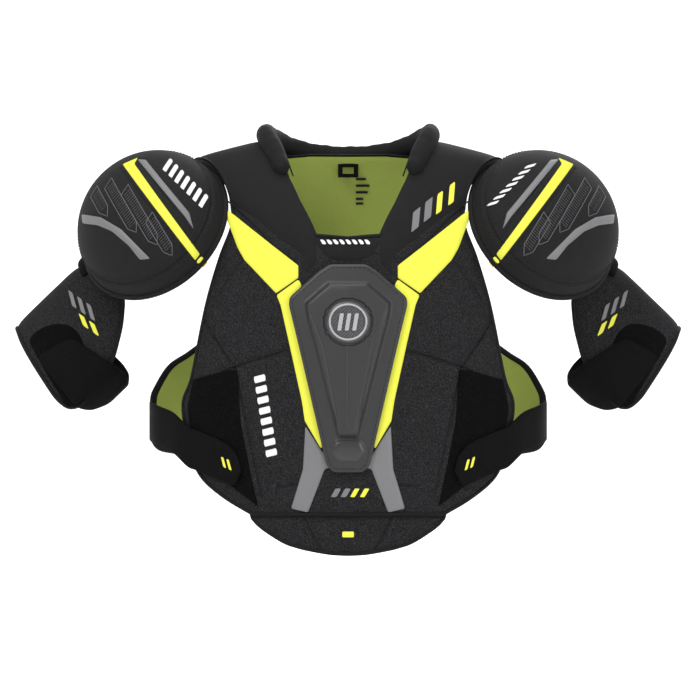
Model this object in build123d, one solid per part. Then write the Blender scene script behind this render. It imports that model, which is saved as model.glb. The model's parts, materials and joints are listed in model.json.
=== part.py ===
"""Ice hockey shoulder pads: chest and back panels on padded shoulder yokes, a collar roll, domed
shoulder caps, biceps guards with their straps, side straps and a hinged belly pad.

Millimetres. +Z is up, the front faces -Y and the wearer's left side is +X. The origin is the middle
of the seat where the yokes rest on the wearer's shoulders. Each layer is its own closed solid.
"""

import math
import os

from build123d import *

# ---- torso form: the inner surface that lies on the wearer ----
CHEST_DEPTH = 108.0  # from the shoulder plane forward, at the widest level
BACK_DEPTH = 100.0
CHEST_HALF_WIDTH = 190.0
BACK_HALF_WIDTH = 224.0
CHEST_SQUARENESS = 2.4  # superellipse exponents of the horizontal slices
BACK_SQUARENESS = 2.6
CREST = 40.0  # height of the form over the neck, before its rounding
CREST_ROUND = 6.0
SHOULDER_SLOPE = 0.26
RISE = 210.0  # from the widest level up to the crest
TAPER = 0.06  # share of depth lost one RISE below the widest level

# ---- layers, as distances out from the form ----
LINER = (0.0, 2.6)
FOAM = (2.8, 14.0)
OVERLAY = (14.2, 16.2)
CLAVICLE = (14.2, 19.0)
GUARD_BASE = (16.4, 20.0)
GUARD_CROWN = (19.9, 27.0)
BADGE = (27.2, 29.4)
SPINE_BASE = (14.2, 18.0)
SPINE_CROWN = (17.9, 26.0)

# ---- sewn edges and openings ----
CHEST_TOP = -31.0  # the sewn line where the chest panel hangs from the yokes
CHEST_HINGE_Y = -88.0
CHEST_FOOT = -366.0
BELLY_TOP = -367.5
BELLY_HINGE_Y = -115.0
BELLY_FOOT = -409.0
BACK_TOP = 2.0
BACK_YOKE_LINE = -38.0
YOKE_EDGE = 126.0
YOKE_THICK = 15.0
NECK_RADIUS = 86.0
BINDING = 5.0  # width of the bound edge
SEAM = 0.4  # gap left between pieces that are sewn or laid together

# ---- shoulder caps (wearer's left; the right is its mirror image) ----
CAP_CENTRE = Vector(203.0, -32.0, -66.0)
CAP_AXIS = Vector(0.50, -0.68, 0.54).normalized()
CAP_ACROSS = Vector(-0.734, 0.0, 0.679).normalized()
CAP_HALF = (84.0, 98.0, 68.0)  # half sizes across, along and out of the rim
CAP_HINGE = Vector(127.5, 0.0, 19.0)
CAP_COVER = (0.0, 3.0)  # depths in from the outer face
CAP_SHELL = (3.2, 5.6)
CAP_FOAM = (5.8, 13.0)
RIM_WIDTH = 7.0

# ---- biceps guards: a limp sleeve around the arm ----
ARM_AXIS = Vector(0.72, 0.0, -0.694).normalized()
ARM_ACROSS = Vector(-0.694, 0.0, -0.72).normalized()
ARM_MIDDLE = -58.0  # along ARM_ACROSS
ARM_Y = 36.0
ARM_HALF = (70.0, 46.0)  # outer half width and half depth of the sleeve
GUARD_THICK = 11.0
ARM_HINGE = Vector(283.0, 36.0, -97.0)
STRAP_THICK = 2.2
ARM_STRAP_SPAN = (330.0, 372.0)  # along ARM_AXIS

# ---- side straps ----
STRAP_WIDTH = 42.0
STRAP_HINGE = Vector(212.5, 30.0, -270.0)

LOOP_TOP = 8.0  # hinge line of the hanging loop


def crest(x):
    """Height of the form's ridge over the shoulder, front to back."""
    return CREST - math.hypot(CREST_ROUND, SHOULDER_SLOPE * x)


def form_y(x, z, side):
    """The form's surface at a place in the front view. side is -1 at the front and 1 at the back."""
    depth, half, power = (
        (CHEST_DEPTH, CHEST_HALF_WIDTH, CHEST_SQUARENESS)
        if side < 0
        else (BACK_DEPTH, BACK_HALF_WIDTH, BACK_SQUARENESS)
    )
    level = (z - crest(x)) / RISE + 1
    fall = math.sqrt(max(0.0, 1 - level**2)) if level > 0 else 1 - TAPER * level**2
    return side * depth * fall * (1 - abs(x / half) ** power) ** (1 / power)


def offset_point(x, z, side, out):
    """A point that far outside the form, measured square to its horizontal slice."""
    step = 0.5
    slope = (form_y(x + step, z, side) - form_y(x - step, z, side)) / (2 * step)
    size = math.hypot(slope, 1)
    return Vector(x - side * slope * out / size, form_y(x, z, side) + side * out / size, z)


def slab(layer, side, levels, reach):
    """The whole layer between two distances from the form, before it is cut to an outline."""
    near, far = layer
    across = [reach * math.sin(math.radians(a)) for a in range(-90, 91, 15)]
    wires = []
    for z in levels:
        inner = [offset_point(x, z, side, near) for x in across]
        outer = [offset_point(x, z, side, far) for x in across]
        wires.append(
            Wire(
                [
                    Edge.make_spline(inner),
                    Edge.make_line(inner[-1], outer[-1]),
                    Edge.make_spline(outer[::-1]),
                    Edge.make_line(outer[0], inner[0]),
                ]
            )
        )
    return Part() + Solid.make_loft(wires)


CHEST_LEVELS = [-414, -340, -270, -205, -150, -105, -70, -45, -28]
BACK_LEVELS = [-385, -310, -240, -180, -130, -85, -50, -22, 4]


def chest_slab(layer):
    return slab(layer, -1, CHEST_LEVELS, 176)


def back_slab(layer):
    return slab(layer, 1, BACK_LEVELS, 213)


def front_prism(face, deep=400):
    """A front-view outline, drawn in x and z, carried through the whole depth of the object."""
    return extrude(Plane.XZ * face, amount=deep, both=True)


def closed_face(runs, inset=0.0):
    """The face inside a loop of curves, each a curve maker and its points, drawn in by an inset."""
    loop = [point for _, points in runs for point in points[:-1]]
    ahead = loop[1:] + loop[:1]
    area = sum(p[0] * q[1] - q[0] * p[1] for p, q in zip(loop, ahead))
    sense = math.copysign(1, area)
    normals = []
    for p, q in zip(loop, ahead):
        size = math.dist(p, q)
        normals.append((-sense * (q[1] - p[1]) / size, sense * (q[0] - p[0]) / size))
    moved = {}
    for i, (x, z) in enumerate(loop):
        (ax, az), (bx, bz) = normals[i - 1], normals[i]
        step = inset / (1 + ax * bx + az * bz)
        moved[(x, z)] = (x + step * (ax + bx), z + step * (az + bz))
    return make_face(Curve() + [maker(*[moved[p] for p in points]) for maker, points in runs])


def mirrored(runs):
    """The runs of a symmetric loop, from those of its x > 0 half in order."""
    return runs + [(maker, [(-x, z) for x, z in points[::-1]]) for maker, points in runs[::-1]]


def across(half):
    """Points of a symmetric curve that crosses x = 0 at its last point."""
    return half + [(-x, z) for x, z in half[-2::-1]]


def polygon(*points):
    return make_face(Polyline(*points, close=True))


def both_sides(shape):
    """A left piece and its mirror image on the wearer's right, as one group."""
    return Compound(children=[*shape.solids(), *mirror(shape, Plane.YZ).solids()])


def right_of(shape):
    return mirror(shape, Plane.YZ)


def save(name, shape):
    solids = shape.solids()
    whole = solids[0] if len(solids) == 1 else Compound(children=solids)
    export_step(whole, f"parts/{name}.step")


def save_pair(name, left):
    save(f"{name}_left", left)
    save(f"{name}_right", right_of(left))


# ---------------------------------------------------------------- outlines in the front view
CHEST_OUTLINE = mirrored(
    [
        (Polyline, [(0, -76), (33, -73), (62, CHEST_TOP), (114, CHEST_TOP)]),
        (Spline, [(114, CHEST_TOP), (112, -62), (130, -98), (144, -147), (158, -221), (167, -254), (158, -310)]),
        (Spline, [(158, -310), (146, -331), (124, -350), (98, CHEST_FOOT)]),
        (Line, [(98, CHEST_FOOT), (0, CHEST_FOOT)]),
    ]
)

BACK_SIDE = [
    (Polyline, [(0, BACK_TOP), (72, BACK_TOP), (74, BACK_YOKE_LINE), (118, BACK_YOKE_LINE)]),
    (Spline, [(118, BACK_YOKE_LINE), (112, -70), (118, -110), (136, -150), (146, -176)]),
    (Line, [(146, -176), (146, -318)]),
]
BACK_OUTLINE = mirrored(BACK_SIDE)
BACK_OUTLINE.insert(3, (Spline, across([(146, -318), (104, -345), (0, -368)])))

WING_OUTLINE = [
    (Spline, [(147, -177), (172, -200), (196, -226), (207, -244)]),
    (Line, [(207, -244), (208, -300)]),
    (Spline, [(208, -300), (180, -305), (147, -317)]),
    (Line, [(147, -317), (147, -177)]),
]

BELLY_OUTLINE = [
    (Spline, across([(95, BELLY_TOP), (84, -384), (60, -401), (0, BELLY_FOOT)])),
    (Line, [(-95, BELLY_TOP), (95, BELLY_TOP)]),
]


def symmetric_polygon(*half):
    """A straight-edged face symmetric about x = 0, from the corners of its x > 0 half."""
    return closed_face(mirrored([(Polyline, list(half))]))


STERNUM = symmetric_polygon(
    (0, -105), (18, -105), (30, -113), (58, -139), (59, -146), (22, -314), (15, -321), (0, -321)
)
STERNUM_CROWN = symmetric_polygon((0, -120), (17, -120), (46, -147), (46, -156), (15, -300), (0, -300))
SPINE = symmetric_polygon((0, -60), (24, -60), (40, -84), (34, -180), (44, -250), (36, -320), (0, -326))
SPINE_RIDGE = symmetric_polygon(
    (0, -72), (16, -72), (26, -92), (20, -180), (30, -246), (22, -308), (0, -312)
)


def field_of(runs):
    """The panel's face inside its bound edge."""
    return closed_face(runs, BINDING + SEAM)


def rim_of(runs):
    """The bound edge of a panel: a ring inside its outline."""
    return closed_face(runs) - closed_face(runs, BINDING)


# ---------------------------------------------------------------- the chest body
def chest_parts():
    field = field_of(CHEST_OUTLINE)
    save("chest_liner", chest_slab(LINER) & front_prism(field))
    save("chest_panel", chest_slab(FOAM) & front_prism(field))
    save("chest_binding", chest_slab((-0.5, 14.1)) & front_prism(rim_of(CHEST_OUTLINE)))

    clavicle = polygon((40, -78), (65, -37), (108, -37), (109, -44), (52, -103), (53, -120), (40, -122), (34, -104))
    save("clavicle_pads", both_sides(chest_slab(CLAVICLE) & front_prism(clavicle)))

    neon_upper = polygon((107, -48), (55, -103), (55, -120), (72.5, -135), (104, -100), (107, -90))
    save("neon_inlays_upper", both_sides(chest_slab(OVERLAY) & front_prism(neon_upper)))

    neon_lower = polygon((56.3, -121.5), (71.5, -135.5), (67, -147), (43, -270), (30, -294), (60.5, -146), (60, -136))
    save("neon_inlays_lower", both_sides(chest_slab(OVERLAY) & front_prism(neon_lower)))

    grey_lower = polygon((42, -272), (29, -297), (22.5, -318), (38, -358), (57, -358), (48, -325), (43, -291))
    save("grey_inlays_lower", both_sides(chest_slab(OVERLAY) & front_prism(grey_lower)))

    neck = symmetric_polygon((0, -82), (32, -82), (24, -98), (14, -103), (0, -103))
    save("neck_insert", chest_slab((14.2, 18.0)) & front_prism(neck))

    loop_patch = polygon((118, -216), (148, -226), (155, -250), (153, -274), (146, -310), (92, -355), (96, -330))
    save("chest_loop_patches", both_sides(chest_slab((14.2, 15.8)) & front_prism(loop_patch)))

    insert = offset(STERNUM, amount=-4)
    save("sternum_insert", chest_slab((14.2, 16.2)) & front_prism(insert))
    base = chest_slab(GUARD_BASE) & front_prism(STERNUM)
    crown = chest_slab(GUARD_CROWN) & front_prism(STERNUM_CROWN)
    save("sternum_guard", base + crown)
    badge = Pos(0, -165) * Circle(21.4)
    save("sternum_badge", chest_slab(BADGE) & front_prism(badge))


def belly_parts():
    save("belly_pad", chest_slab((1.0, 11.0)) & front_prism(field_of(BELLY_OUTLINE)))
    save("belly_binding", chest_slab((0.0, 12.0)) & front_prism(rim_of(BELLY_OUTLINE)))


# ---------------------------------------------------------------- the back body
def yoke_slice(x, near, far):
    """The arch of the yoke at one x, from the chest's sewn line over the crest to the back."""
    centre = crest(x) - RISE
    front, back = form_y(x, centre, -1), form_y(x, centre, 1)
    angles = [30 + 12 * i for i in range(11)]

    def arc(out):
        points = []
        for angle in angles:
            c, s = math.cos(math.radians(angle)), math.sin(math.radians(angle))
            depth = -front if c > 0 else back
            normal = Vector(0, -c / depth, s / RISE).normalized()
            points.append(Vector(x, -c * depth, centre + s * RISE) + normal * out)
        return points

    inner, outer = arc(near), arc(far)
    return Wire(
        [
            Edge.make_spline(inner),
            Edge.make_line(inner[-1], outer[-1]),
            Edge.make_spline(outer[::-1]),
            Edge.make_line(outer[0], inner[0]),
        ]
    )


def yoke(near, far):
    arch = Solid.make_loft([yoke_slice(x, near, far) for x in (52, 72, 92, 110, 130)])
    edge = Spline((YOKE_EDGE, 90), (YOKE_EDGE, 0), (YOKE_EDGE - 2, -35), (113, -100))
    plan = make_face(Curve() + [edge, Polyline((113, -100), (20, -100), (20, 90), (YOKE_EDGE, 90))])
    body = arch & extrude(Pos(0, 0, -250) * plan, amount=400)
    body -= Cylinder(NECK_RADIUS, 500)
    body -= Pos(0, 120, 0) * Box(152, 200, 600)
    front_room = Pos(100, -150, CHEST_TOP + SEAM) * Box(300, 300, 300, align=(Align.CENTER, Align.CENTER, Align.MAX))
    back_room = Pos(100, 150, BACK_YOKE_LINE + SEAM) * Box(300, 300, 300, align=(Align.CENTER, Align.CENTER, Align.MAX))
    return body - front_room - back_room


def tube(points, radius):
    """A round roll lofted through points, each with the direction of its neighbours."""
    sections = []
    for i, point in enumerate(points):
        ahead = points[min(i + 1, len(points) - 1)] - points[max(i - 1, 0)]
        sections.append(Wire.make_circle(radius, Plane(origin=point, z_dir=ahead)))
    return Solid.make_loft(sections)


COLLAR_HALF = [
    Vector(0, 63, 17),
    Vector(32, 60, 19),
    Vector(60, 47, 25),
    Vector(80, 24, 33),
    Vector(88, -4, 36),
    Vector(85, -30, 30),
    Vector(76, -54, 13),
    Vector(68, -72, -9),
]
COLLAR_RADIUS = 9.0


def collar_path():
    left = COLLAR_HALF
    return [Vector(-p.X, p.Y, p.Z) for p in left[:0:-1]] + left


def back_parts():
    field = field_of(BACK_OUTLINE)
    save("back_liner", back_slab(LINER) & front_prism(field))
    save("back_panel", back_slab(FOAM) & front_prism(field))
    save("back_binding", back_slab((-0.5, 14.1)) & front_prism(rim_of(BACK_OUTLINE)))
    spine = back_slab(SPINE_BASE) & front_prism(SPINE)
    save("spine_guard", spine + (back_slab(SPINE_CROWN) & front_prism(SPINE_RIDGE)))
    save("back_wings", both_sides(back_slab((0.0, 11.0)) & front_prism(closed_face(WING_OUTLINE))))
    save_pair("yoke", yoke(0.0, YOKE_THICK))
    roll = tube(collar_path(), COLLAR_RADIUS)
    bed = yoke(-1.0, YOKE_THICK + 4 * SEAM)
    save("collar_roll", roll - bed - right_of(bed))


def hang_loop():
    tape = Pos(0, 47.0, LOOP_TOP) * Box(22, 1.4, 15, align=(Align.CENTER, Align.CENTER, Align.MAX))
    hole = Pos(0, 47.0, LOOP_TOP - 4) * Box(12, 10, 7, align=(Align.CENTER, Align.CENTER, Align.MAX))
    save("hang_loop", tape - hole)


# ---------------------------------------------------------------- shoulder caps
CAP_PLANE = Plane(origin=CAP_CENTRE, x_dir=CAP_ACROSS, z_dir=CAP_AXIS)


def dome(grow, floor=0.0):
    """The solid half ellipsoid of the cap, grown or shrunk, above a level over its rim plane."""
    a, b, c = (half + grow for half in CAP_HALF)
    ball = scale(Sphere(1), by=(a, b, c))
    room = Pos(0, 0, floor) * Box(400, 400, 200, align=(Align.CENTER, Align.CENTER, Align.MIN))
    return ball & room


def cap_layer(depths, floor=0.0):
    near, far = depths
    return CAP_PLANE * (dome(-near, floor) - dome(-far, floor - 1))


def cap_rim():
    outer = extrude(Ellipse(CAP_HALF[0] + 2.5, CAP_HALF[1] + 2.5), amount=-RIM_WIDTH)
    inner = extrude(Ellipse(CAP_HALF[0] - 14, CAP_HALF[1] - 14), amount=-RIM_WIDTH)
    return CAP_PLANE * (Pos(0, 0, -0.3) * (outer - inner))


def cap_trim(face):
    """A strip inlaid on the front of the cap's cover, cut to a front-view outline."""
    strip = cap_layer((-1.8, -0.2), 4) & front_prism(face)
    return strip & Pos(CAP_CENTRE) * Box(400, 400, 400, align=(Align.CENTER, Align.MAX, Align.CENTER))


def epaulet():
    arch = Solid.make_loft([yoke_slice(x, 9.0, 17.0) for x in (126, 140, 155, 172)])
    edge = Spline((129, -68), (140, -46), (156, -20), (168, 2), (160, 26), (145, 46), (129, 62))
    plan = make_face(Curve() + [edge, Line((129, 62), (129, -68))])
    tongue = arch & extrude(Pos(0, 0, -250) * plan, amount=400)
    rim_room = extrude(Ellipse(CAP_HALF[0] + 3, CAP_HALF[1] + 3), amount=-10)
    return tongue - CAP_PLANE * dome(2.2, -60) - CAP_PLANE * rim_room


def cap_parts():
    save_pair("cap_cover", cap_layer(CAP_COVER))
    save_pair("cap_shell", cap_layer(CAP_SHELL))
    save_pair("cap_foam", cap_layer(CAP_FOAM))
    save_pair("cap_rim", cap_rim())
    neon = polygon((238, 3), (225, 5), (154.5, -94), (159.5, -100.5))
    stop = polygon((158.5, -102), (153.5, -96), (146.5, -101.5), (151.5, -108))
    save_pair("cap_neon_stripe", cap_trim(neon) + cap_trim(stop))
    upper = polygon((220, 6.5), (213, 7.5), (165.5, -51), (161, -68), (170, -55))
    lower = polygon((280, -50), (260, -54.5), (237, -68), (206, -99), (217, -100), (247, -70), (263, -63), (279, -60))
    save_pair("cap_grey_stripes", cap_trim(upper) + cap_trim(lower))
    save_pair("epaulet", epaulet())


# ---------------------------------------------------------------- biceps guards
ARM_PLANE = Plane(
    origin=ARM_ACROSS * ARM_MIDDLE + Vector(0, ARM_Y, 0), x_dir=ARM_ACROSS, z_dir=ARM_AXIS
)


def sleeve(layer, span=(200.0, 440.0)):
    """The sleeve's wall between two depths in from its outer face, over a length of the arm."""
    near, far = layer
    outer = Ellipse(ARM_HALF[0] - near, ARM_HALF[1] - near)
    inner = Ellipse(ARM_HALF[0] - far, ARM_HALF[1] - far)
    wall = extrude(outer - inner, amount=span[1] - span[0])
    return ARM_PLANE * (Pos(0, 0, span[0]) * wall)


def guard_room(front, rear):
    """Front and rear outlines carried through the front and rear halves of the sleeve."""
    ahead = Pos(0, ARM_Y, 0) * Box(900, 400, 900, align=(Align.CENTER, Align.MAX, Align.CENTER))
    behind = Pos(0, ARM_Y, 0) * Box(900, 400, 900, align=(Align.CENTER, Align.MIN, Align.CENTER))
    return front_prism(front) & ahead, front_prism(rear) & behind


GUARD_FRONT = [(291, -101), (240, -137), (250, -206), (284, -256), (300, -260), (312, -247), (356, -172), (348, -155)]
GUARD_REAR = [(291, -101), (262, -128), (276, -176), (322, -231), (356, -172), (348, -155)]


def guard_layer(layer, grow):
    front = offset(polygon(*GUARD_FRONT), amount=grow)
    rear = offset(polygon(*GUARD_REAR), amount=grow)
    ahead, behind = guard_room(front, rear)
    wall = sleeve(layer)
    return (wall & ahead) + (wall & behind)


def guard_binding():
    return guard_layer((-0.4, 11.4), 0.0) - guard_layer((-2.0, 13.0), -BINDING)


def biceps_parts():
    save_pair("biceps_pad", guard_layer((0.0, 4.8), -BINDING - SEAM))
    save_pair("biceps_shell", guard_layer((5.0, 7.2), -BINDING - SEAM - 3))
    save_pair("biceps_liner", guard_layer((7.4, 11.0), -BINDING - SEAM))
    save_pair("biceps_binding", guard_binding())
    patch = polygon((336, -178), (313, -168), (299, -168), (287, -178), (275, -216), (286, -246), (300, -250))
    ahead, behind = guard_room(patch, patch)
    save_pair("biceps_loop_patch", sleeve((-1.8, -0.2)) & ahead)
    save_pair("biceps_hanger", hanger())
    band = sleeve((-4.4, -2.2), ARM_STRAP_SPAN)
    front = ARM_PLANE * (Pos(-16, -0.5, 0) * Box(400, 400, 900, align=(Align.MIN, Align.MAX, Align.CENTER)))
    rear = ARM_PLANE * (Pos(-16, 0.5, 0) * Box(400, 400, 900, align=(Align.MIN, Align.MIN, Align.CENTER)))
    save_pair("biceps_strap_front", band & front)
    save_pair("biceps_strap_rear", band & rear)


def hanger():
    """Webbing tab from the cap's rim back to the hinge line over the guard."""
    return Pos(282, 27.5, -95) * Rot(0, 45, 0) * Box(16, 16, 2.4)


# ---------------------------------------------------------------- side straps
def strap_centre(x):
    """Height of the strap's middle line where it lies on the chest."""
    return -316.0 + (x - 112) * 0.46


def strap_station(x, y, z, nx, ny):
    """One upright section of the strap, from its middle point and the way its outer face looks."""
    half, thick = STRAP_WIDTH / 2, STRAP_THICK / 2
    near, far = (x - nx * thick, y - ny * thick), (x + nx * thick, y + ny * thick)
    corners = [(*near, z - half), (*near, z + half), (*far, z + half), (*far, z - half)]
    return Wire.make_polygon(corners, close=True)


def chest_station(x):
    """A section of the strap where it is pressed on the chest's loop patch."""
    z = strap_centre(x)
    near, far = offset_point(x, z, -1, 17.0), offset_point(x, z, -1, 17.0 + STRAP_THICK)
    out = (far - near).normalized()
    middle = (near + far) * 0.5
    return strap_station(middle.X, middle.Y, middle.Z, out.X, out.Y)


def strap_parts():
    tab = [chest_station(x) for x in (108, 116, 124)]
    save_pair("side_strap_tab", Solid.make_loft(tab))
    run = [chest_station(x) for x in (124.4, 140, 155)]
    run += [
        strap_station(184.0, -68.0, -282.0, 0.76, -0.65),
        strap_station(202.0, -38.0, -275.0, 0.92, -0.39),
        strap_station(210.5, -5.0, -271.0, 0.99, -0.10),
        strap_station(212.5, 28.5, -270.0, 1.0, 0.0),
    ]
    save_pair("side_strap", Solid.make_loft(run))
    base = [
        strap_station(212.5, 31.5, -270.0, 1.0, 0.0),
        strap_station(213.6, 52.0, -270.0, 1.0, 0.05),
        strap_station(212.4, 68.5, -270.0, 0.80, 0.60),
        strap_station(204.0, 75.4, -270.0, 0.60, 0.80),
        strap_station(190.4, 83.0, -270.0, 0.48, 0.88),
    ]
    save_pair("side_strap_base", Solid.make_loft(base))


if __name__ == "__main__":
    os.makedirs("parts", exist_ok=True)
    chest_parts()
    belly_parts()
    back_parts()
    hang_loop()
    cap_parts()
    biceps_parts()
    strap_parts()
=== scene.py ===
import json
import math

import bmesh
import bpy
import numpy as np
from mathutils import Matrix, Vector, geometry


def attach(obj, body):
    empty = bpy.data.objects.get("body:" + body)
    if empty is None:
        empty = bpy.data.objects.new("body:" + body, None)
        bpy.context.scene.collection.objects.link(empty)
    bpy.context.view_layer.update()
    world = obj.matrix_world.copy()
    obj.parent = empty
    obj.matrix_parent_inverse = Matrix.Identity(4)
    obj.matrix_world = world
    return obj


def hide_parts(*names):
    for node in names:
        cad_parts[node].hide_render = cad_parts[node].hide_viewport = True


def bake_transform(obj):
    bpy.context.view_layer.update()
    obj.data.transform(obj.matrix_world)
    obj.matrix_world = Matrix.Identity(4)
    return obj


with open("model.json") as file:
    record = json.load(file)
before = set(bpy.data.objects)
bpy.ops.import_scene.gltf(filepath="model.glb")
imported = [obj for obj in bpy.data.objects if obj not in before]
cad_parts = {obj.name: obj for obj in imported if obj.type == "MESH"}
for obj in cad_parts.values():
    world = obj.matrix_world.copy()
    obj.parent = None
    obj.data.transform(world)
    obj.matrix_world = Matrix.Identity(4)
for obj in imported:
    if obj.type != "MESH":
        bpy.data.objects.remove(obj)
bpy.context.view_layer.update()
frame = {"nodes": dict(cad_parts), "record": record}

MM = 0.001

# ------------------------------------------------------------------ camera
cam_data = bpy.data.cameras.new("camera")
cam_data.lens = 192.0
cam_data.sensor_width = 36.0
cam = bpy.data.objects.new("camera", cam_data)
cam.location = (0.002, -4.0, -0.194)
cam.rotation_euler = (math.radians(90), 0, 0)
bpy.context.scene.collection.objects.link(cam)
bpy.context.scene.camera = cam


# ------------------------------------------------------------------ the torso form, in millimetres
CREST, CREST_ROUND, SLOPE, RISE, TAPER = 40.0, 6.0, 0.26, 210.0, 0.06
FRONT = (108.0, 190.0, 2.4)
BACK = (100.0, 224.0, 2.6)


def crest(x):
    return CREST - np.hypot(CREST_ROUND, SLOPE * x)


def form_y(x, z, side):
    depth, half, power = FRONT if side < 0 else BACK
    level = (z - crest(x)) / RISE + 1
    fall = np.where(level > 0, np.sqrt(np.clip(1 - level**2, 0, 1)), 1 - TAPER * level**2)
    return side * depth * fall * np.clip(1 - np.abs(x / half) ** power, 1e-6, 1) ** (1 / power)


def torso(side):
    """Maps front-view points and distances out of the form to places in space."""

    def place(p, out):
        x, z = p[:, 0], p[:, 1]
        slope = form_y(x + 0.5, z, side) - form_y(x - 0.5, z, side)
        size = np.hypot(slope, 1)
        return np.stack([x - side * slope * out / size, form_y(x, z, side) + side * out / size, z], 1)

    return place


FRONT_FORM, BACK_FORM = torso(-1), torso(1)
ARC = 170.0


def arch(p, out):
    """Maps (x, arc length over the shoulder from the front) to places in space."""
    x, a = p[:, 0], p[:, 1] / ARC
    c, s = np.cos(a), np.sin(a)
    centre = crest(x) - RISE
    front, back = -form_y(x, centre, -1), form_y(x, centre, 1)
    # the depth switches from the front's to the back's at the crest, where the cosine is zero, so that the
    # pad has no step
    depth = np.where(c > 0, front, back)
    ny, nz = -c / depth, s / RISE
    size = np.hypot(ny, nz)
    return np.stack([x, -c * depth + ny / size * out, centre + s * RISE + nz / size * out], 1)


def arch_at(x, z, side=-1):
    """The arc coordinate of a front-view place on the front or the back of the shoulder."""
    a = math.asin(min(0.9999, (z - float(crest(x))) / RISE + 1))
    return (x, ARC * (a if side < 0 else math.pi - a))


CAP_C = np.array([206.0, -32.0, -63.0])
CAP_Z = np.array([0.50, -0.68, 0.54]) / np.linalg.norm([0.50, -0.68, 0.54])
CAP_X = np.array([-0.734, 0.0, 0.679]) / np.linalg.norm([-0.734, 0.0, 0.679])
CAP_X = CAP_X - CAP_Z * CAP_X.dot(CAP_Z)
CAP_X = CAP_X / np.linalg.norm(CAP_X)
CAP_Y = np.cross(CAP_Z, CAP_X)
CAP_FRAME = np.stack([CAP_X, CAP_Y, CAP_Z], 1)
CAP_HALF = np.array([84.0, 95.0, 68.0])


def cap_front(p, out):
    """Maps front-view points to the front of the cap's dome, grown by out."""
    out = np.broadcast_to(out, (len(p),))
    half = CAP_HALF[None, :] + out[:, None]
    rel = np.stack([p[:, 0] - CAP_C[0], np.zeros(len(p)), p[:, 1] - CAP_C[2]], 1) @ CAP_FRAME
    way = np.array([0.0, -1.0, 0.0]) @ CAP_FRAME
    a = ((way / half) ** 2).sum(1)
    b = (rel * way / half**2).sum(1)
    c = ((rel / half) ** 2).sum(1) - 1
    t = (-b + np.sqrt(np.clip(b * b - a * c, 0, None))) / a
    return np.stack([p[:, 0], CAP_C[1] - t, p[:, 1]], 1)


ARM_Z = np.array([0.72, 0.0, -0.694])
ARM_X = np.array([-0.694, 0.0, -0.72])
ARM_MIDDLE, ARM_Y = -58.0, 36.0
ARM_HALF = (70.0, 46.0)


def sleeve(p, out):
    """Maps (degrees round the sleeve from its inner edge over the front, length along) to space."""
    t = np.radians(p[:, 0])
    c = ARM_MIDDLE + (ARM_HALF[0] + out) * np.cos(t)
    y = ARM_Y - (ARM_HALF[1] + out) * np.sin(t)
    return c[:, None] * ARM_X + np.stack([0 * y, y, 0 * y], 1) + p[:, 1:2] * ARM_Z


def sleeve_scaled(p, out):
    return sleeve(np.stack([p[:, 0] / 1.02, p[:, 1]], 1), out)


def on_sleeve(x, z):
    """Front-view place to the sleeve's own coordinates, in millimetres round and along."""
    c = (x * ARM_X[0] + z * ARM_X[2] - ARM_MIDDLE) / ARM_HALF[0]
    return (1.02 * math.degrees(math.acos(max(-1, min(1, c)))), x * ARM_Z[0] + z * ARM_Z[2])


# ------------------------------------------------------------------ outlines
def spline(points, closed=False, per=14):
    """A smooth curve through the points."""
    p = np.array(points, float)
    if closed:
        p = np.vstack([p[-1], p, p[0], p[1]])
    else:
        p = np.vstack([2 * p[0] - p[1], p, 2 * p[-1] - p[-2]])
    t = np.linspace(0, 1, per, endpoint=False)[:, None]
    rows = []
    for a, b, c, d in zip(p[:-3], p[1:-2], p[2:-1], p[3:]):
        rows.append(
            0.5
            * (2 * b + (c - a) * t + (2 * a - 5 * b + 4 * c - d) * t**2 + (3 * b - a - 3 * c + d) * t**3)
        )
    out = np.vstack(rows)
    return out if closed else np.vstack([out, p[-2]])


def resample(line, step, closed=False):
    line = np.array(line, float)
    if closed:
        line = np.vstack([line, line[:1]])
    gaps = np.linalg.norm(np.diff(line, axis=0), axis=1)
    length = np.concatenate([[0], np.cumsum(gaps)])
    count = max(2, int(round(length[-1] / step)))
    at = np.linspace(0, length[-1], count + 1)
    if closed:
        at = at[:-1]
    return np.stack([np.interp(at, length, line[:, k]) for k in range(line.shape[1])], 1)


def rounded(points, radius, per=5):
    """A closed polygon with its corners rounded."""
    p = np.array(points, float)
    out = []
    for a, b, c in zip(np.roll(p, 1, 0), p, np.roll(p, -1, 0)):
        u, v = a - b, c - b
        cut = min(radius, 0.45 * np.linalg.norm(u), 0.45 * np.linalg.norm(v))
        u, v = b + u / np.linalg.norm(u) * cut, b + v / np.linalg.norm(v) * cut
        for t in np.linspace(0, 1, per):
            out.append((1 - t) ** 2 * u + 2 * t * (1 - t) * b + t**2 * v)
    return np.array(out)


def both(half):
    """Closed outline from its x > 0 half, listed from the top centre round to the bottom centre."""
    half = np.array(half, float)
    return np.vstack([half, (half * [-1, 1])[::-1][1:-1]])


def flip(points):
    return np.array(points, float) * ([-1, 1] if np.array(points).shape[1] == 2 else [-1, 1, 1])


def distance(p, line, closed=False):
    """Distance from points to a polyline."""
    line = np.array(line, float)
    a = line
    b = np.roll(line, -1, 0)
    if not closed:
        a, b = a[:-1], b[:-1]
    best = np.full(len(p), 1e9)
    for start in range(0, len(p), 4000):
        q = p[start : start + 4000, None, :]
        d = b - a
        t = np.clip(((q - a) * d).sum(2) / np.maximum((d * d).sum(1), 1e-9), 0, 1)
        best[start : start + 4000] = np.sqrt((((q - a) - t[:, :, None] * d) ** 2).sum(2)).min(1)
    return best


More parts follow.
